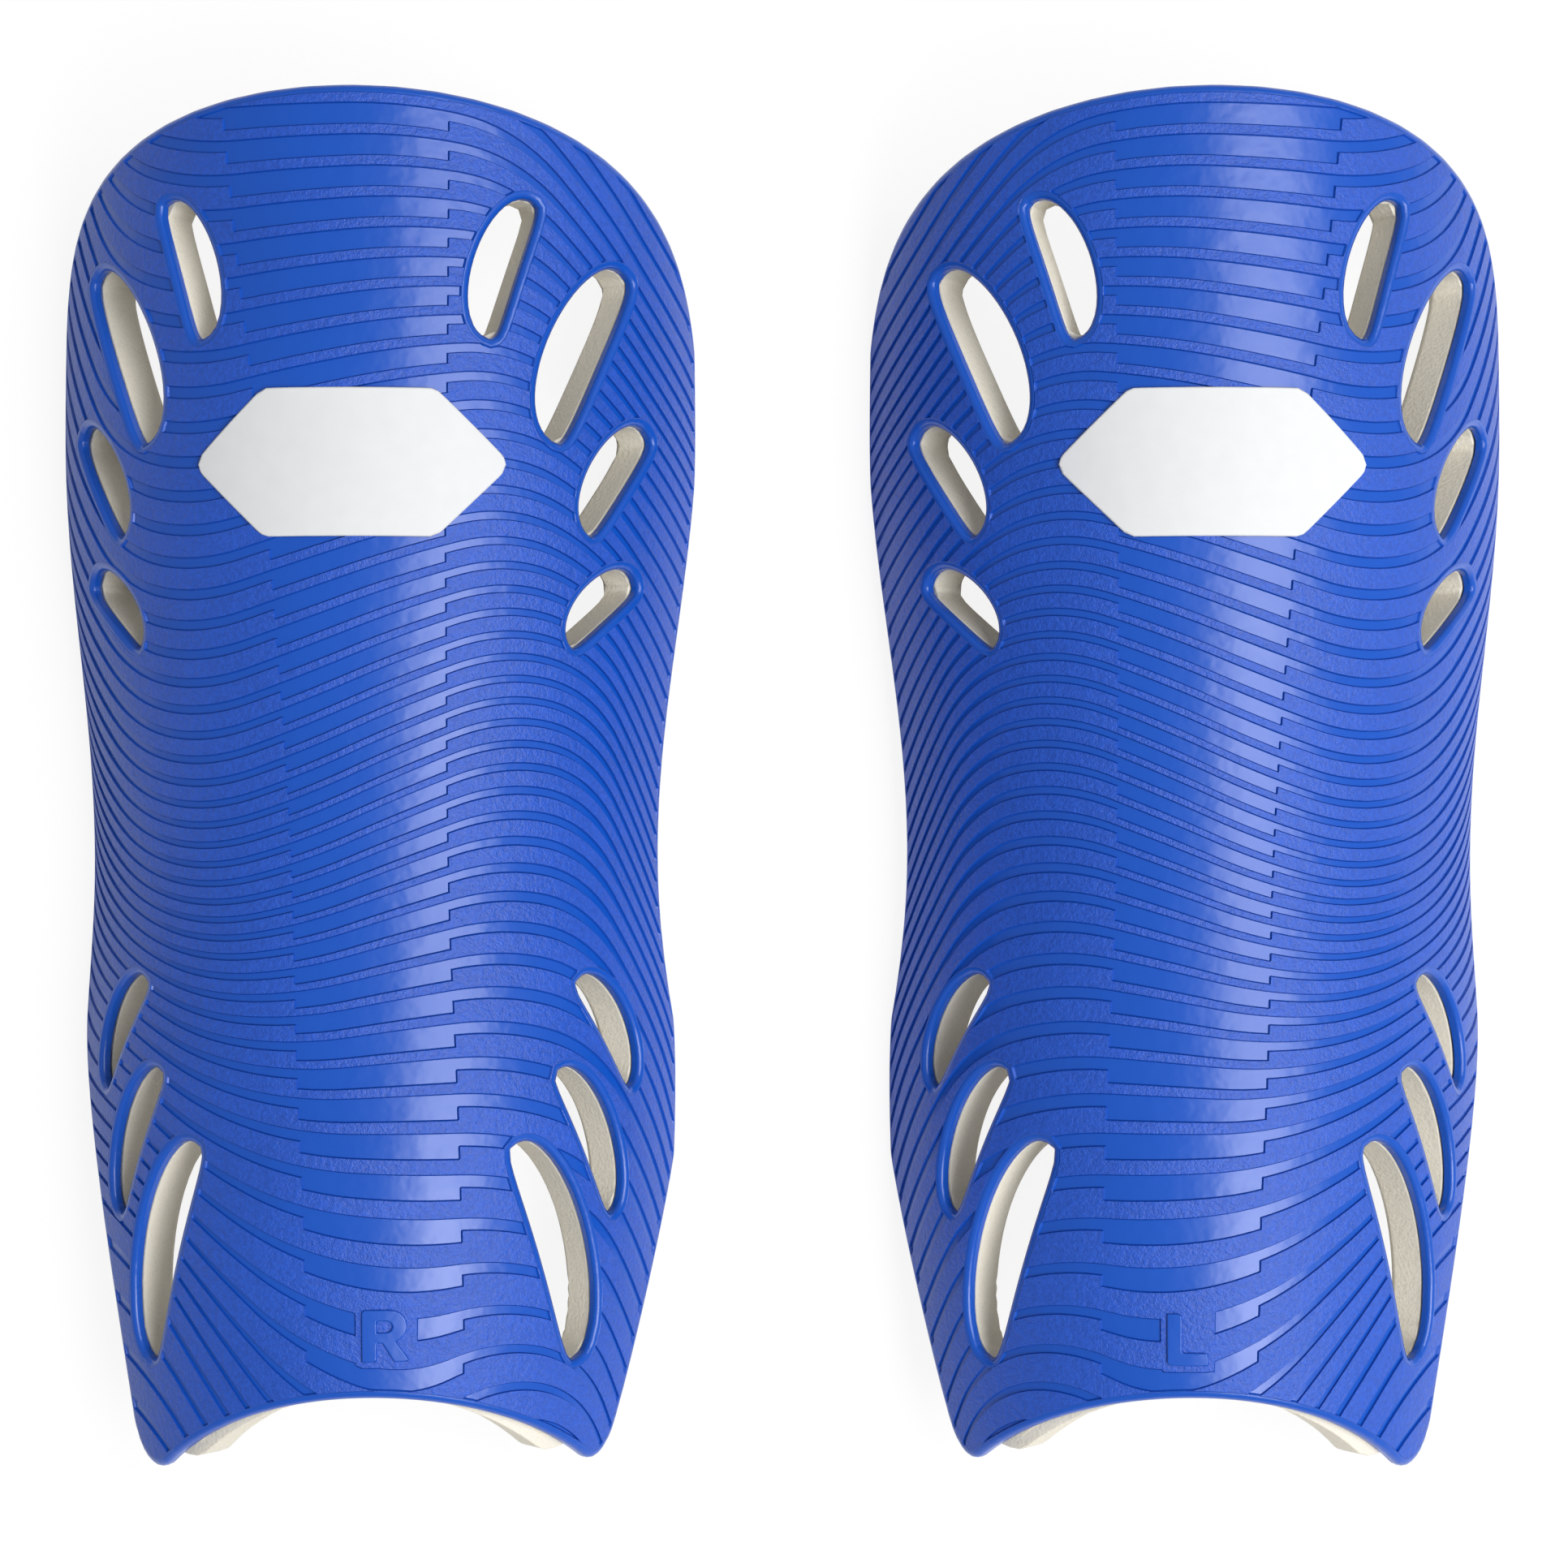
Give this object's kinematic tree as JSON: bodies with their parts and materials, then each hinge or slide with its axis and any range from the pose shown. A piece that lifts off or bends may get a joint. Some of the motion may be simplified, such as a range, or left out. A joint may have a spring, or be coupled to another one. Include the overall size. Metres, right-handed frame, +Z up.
{
  "type": "shin guard",
  "caption": "Left and right slip-in shin guards: a curved, ribbed hard shell with curved vents, bonded to a soft foam backing, lying hollow side down.",
  "frame": {"origin": "on the table, under the middle of the bounding box of both guards", "axes": "+Z up, away from the table; +Y along the guards, from the ankle end to the top edge; +X from the right guard to the left guard"},
  "size_m": [0.2504, 0.2278, 0.0464],
  "materials": {
    "shell_plastic": "smooth glossy bands between finely grained satin ribs",
    "glue": "dried clear glue",
    "foam": "matte closed-cell foam",
    "badge_film": "satin film"
  },
  "bodies": {
    "right_guard": {"right_shell": "shell_plastic", "right_glue_film": "glue", "right_foam_backing": "foam", "right_badge": "badge_film"},
    "left_guard": {"left_shell": "shell_plastic", "left_glue_film": "glue", "left_foam_backing": "foam", "left_badge": "badge_film"}
  },
  "joints": [
    {"name": "left_guard_lift", "type": "slide", "parent": "right_guard", "child": "left_guard", "axis": [0, 0, 1], "range_m": [0, 0.06]}
  ]
}
